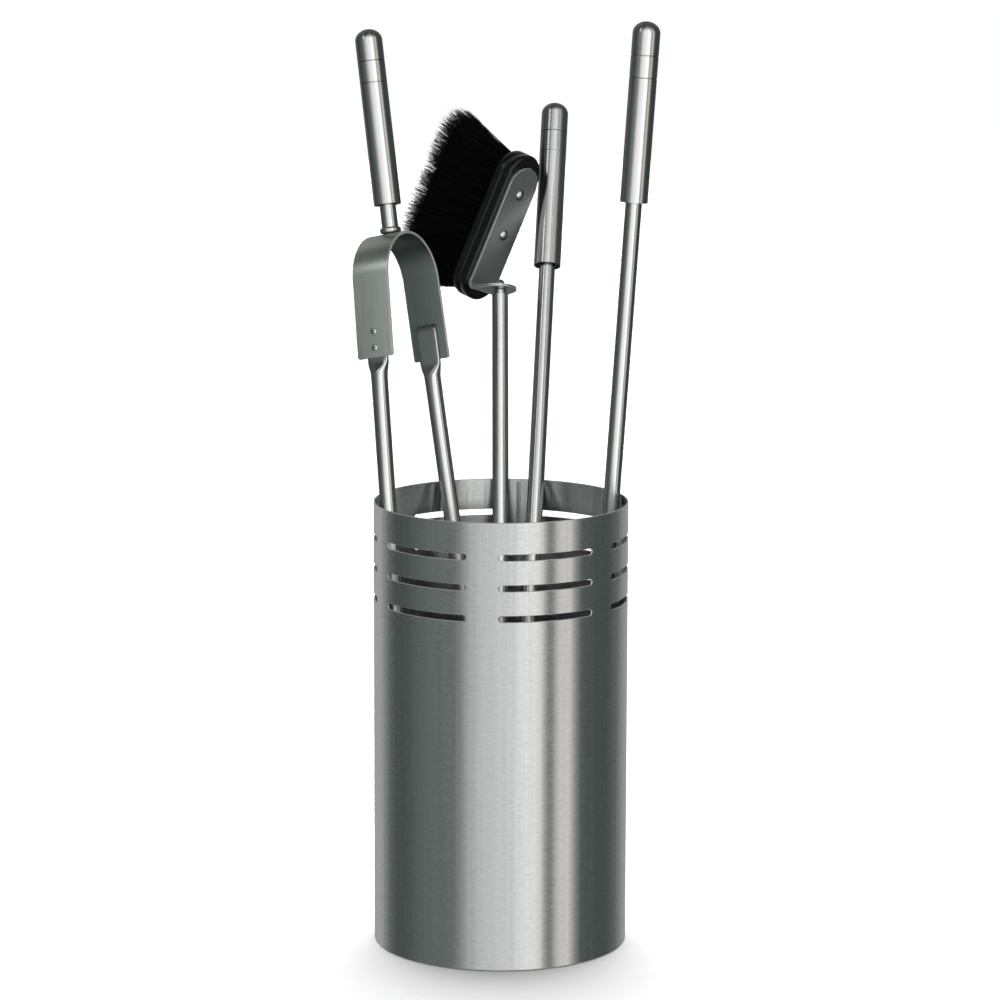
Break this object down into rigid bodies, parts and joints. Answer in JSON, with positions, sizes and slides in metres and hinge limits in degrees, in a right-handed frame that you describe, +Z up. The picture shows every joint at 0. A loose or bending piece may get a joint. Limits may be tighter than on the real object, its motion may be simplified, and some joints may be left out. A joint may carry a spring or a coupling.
{
  "type": "fireplace tool set",
  "caption": "Round brushed steel bucket with slotted rim holding a poker, a shovel, a head-up hearth brush and sprung tongs, each on a slim rod with a domed cylindrical grip.",
  "frame": {"origin": "centre of the bucket's underside, on the floor", "axes": "+Z up; -Y towards the side the picture shows; +X to the right as seen from that side"},
  "size_m": [0.2219, 0.3161, 0.667],
  "materials": {
    "bucket_steel": "stainless sheet brushed around the tube",
    "handle_steel": "stainless tube, fine satin polish",
    "rod_steel": "stainless bar, satin",
    "strip_steel": "rolled strip, lengthwise grain",
    "fastener_steel": "plated heads",
    "bush_plastic": "dark moulded bush",
    "block_lacquer": "black lacquered block",
    "bristles": "black hair with pale split tips"
  },
  "bodies": {
    "bucket": {"bucket_shell": "bucket_steel", "bucket_base": "bucket_steel"},
    "poker": {"poker_end_bush": "bush_plastic", "poker_handle_cap": "handle_steel", "poker_handle_ring": "handle_steel", "poker_handle_sleeve": "handle_steel", "poker_hook": "rod_steel", "poker_inner_bush": "bush_plastic", "poker_point": "rod_steel", "poker_rod": "rod_steel"},
    "shovel": {"shovel_blade": "strip_steel", "shovel_end_bush": "bush_plastic", "shovel_handle_cap": "handle_steel", "shovel_handle_ring": "handle_steel", "shovel_handle_sleeve": "handle_steel", "shovel_inner_bush": "bush_plastic", "shovel_rivet_1": "fastener_steel", "shovel_rivet_2": "fastener_steel", "shovel_rod": "rod_steel"},
    "brush": {"brush_block": "block_lacquer", "brush_bolt": "fastener_steel", "brush_bracket": "strip_steel", "brush_bristles": "bristles", "brush_collar": "rod_steel", "brush_end_bush": "bush_plastic", "brush_handle_cap": "handle_steel", "brush_handle_ring": "handle_steel", "brush_handle_sleeve": "handle_steel", "brush_inner_bush": "bush_plastic", "brush_rod": "rod_steel", "brush_screw_lower": "fastener_steel", "brush_screw_upper": "fastener_steel"},
    "tongs": {"tongs_collar": "rod_steel", "tongs_end_bush": "bush_plastic", "tongs_handle_cap": "handle_steel", "tongs_handle_ring": "handle_steel", "tongs_handle_sleeve": "handle_steel", "tongs_inner_bush": "bush_plastic", "tongs_neck": "rod_steel", "tongs_nut": "fastener_steel", "tongs_spring": "strip_steel"},
    "tongs_left_arm": {"tongs_left_arm": "rod_steel", "tongs_left_paw": "strip_steel", "tongs_left_rivet_lower": "fastener_steel", "tongs_left_rivet_upper": "fastener_steel"},
    "tongs_right_arm": {"tongs_right_arm": "rod_steel", "tongs_right_paw": "strip_steel", "tongs_right_rivet_lower": "fastener_steel", "tongs_right_rivet_upper": "fastener_steel"}
  },
  "joints": [
    {"name": "shovel_lift", "type": "slide", "parent": "bucket", "child": "shovel", "axis": [0, 0, 1], "range_m": [0, 0.345]},
    {"name": "poker_lift", "type": "slide", "parent": "bucket", "child": "poker", "axis": [0.0682, 0.2074, 0.9759], "range_m": [0, 0.345]},
    {"name": "brush_lift", "type": "slide", "parent": "bucket", "child": "brush", "axis": [0, 0.2924, 0.9563], "range_m": [0, 0.345]},
    {"name": "tongs_lift", "type": "slide", "parent": "bucket", "child": "tongs", "axis": [-0.0934, 0.224, 0.9701], "range_m": [0, 0.345]},
    {"name": "tongs_squeeze", "type": "hinge", "parent": "tongs", "child": "tongs_left_arm", "pos_m": [-0.08107, 0.07683, 0.50833], "axis": [0.8555, -0.4742, 0.2078], "range_deg": [0, 3.3], "stiffness_Nm_per_rad": 40, "deforming": ["tongs_spring"]},
    {"name": "tongs_squeeze_right", "type": "hinge", "parent": "tongs", "child": "tongs_right_arm", "pos_m": [-0.08107, 0.07683, 0.50833], "axis": [-0.8555, 0.4742, -0.2078], "range_deg": [0, 3.3], "stiffness_Nm_per_rad": 40, "deforming": ["tongs_spring"]}
  ],
  "couplings": [
    {"joint": "tongs_squeeze_right", "follows": "tongs_squeeze", "ratio": 1}
  ]
}
